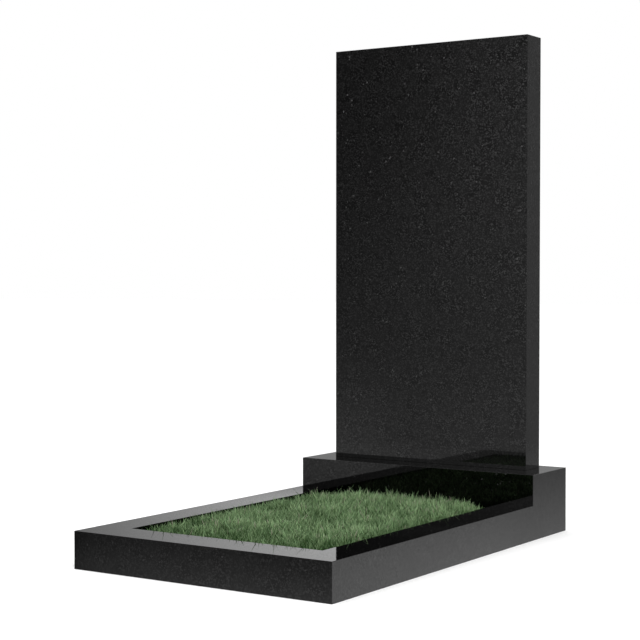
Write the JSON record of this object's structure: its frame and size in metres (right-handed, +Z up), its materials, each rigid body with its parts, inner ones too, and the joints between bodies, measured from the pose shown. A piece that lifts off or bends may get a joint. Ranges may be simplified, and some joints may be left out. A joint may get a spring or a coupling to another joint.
{
  "type": "headstone",
  "caption": "Polished black granite headstone: a plain upright slab on a block plinth, with a low mitred kerb closing a sunken bed of short grass in front.",
  "frame": {"origin": "centre of the footprint, at ground level", "axes": "+Z up; -Y out of the slab's face, towards the foot of the bed; +X to the right as seen from the front"},
  "size_m": [0.72, 1.15, 1.32],
  "materials": {
    "granite": "polished",
    "turf": "matte"
  },
  "bodies": {
    "root": {"headstone": "granite", "plinth": "granite", "kerb_left": "granite", "kerb_right": "granite", "kerb_front": "granite", "turf": "turf"}
  },
  "joints": []
}
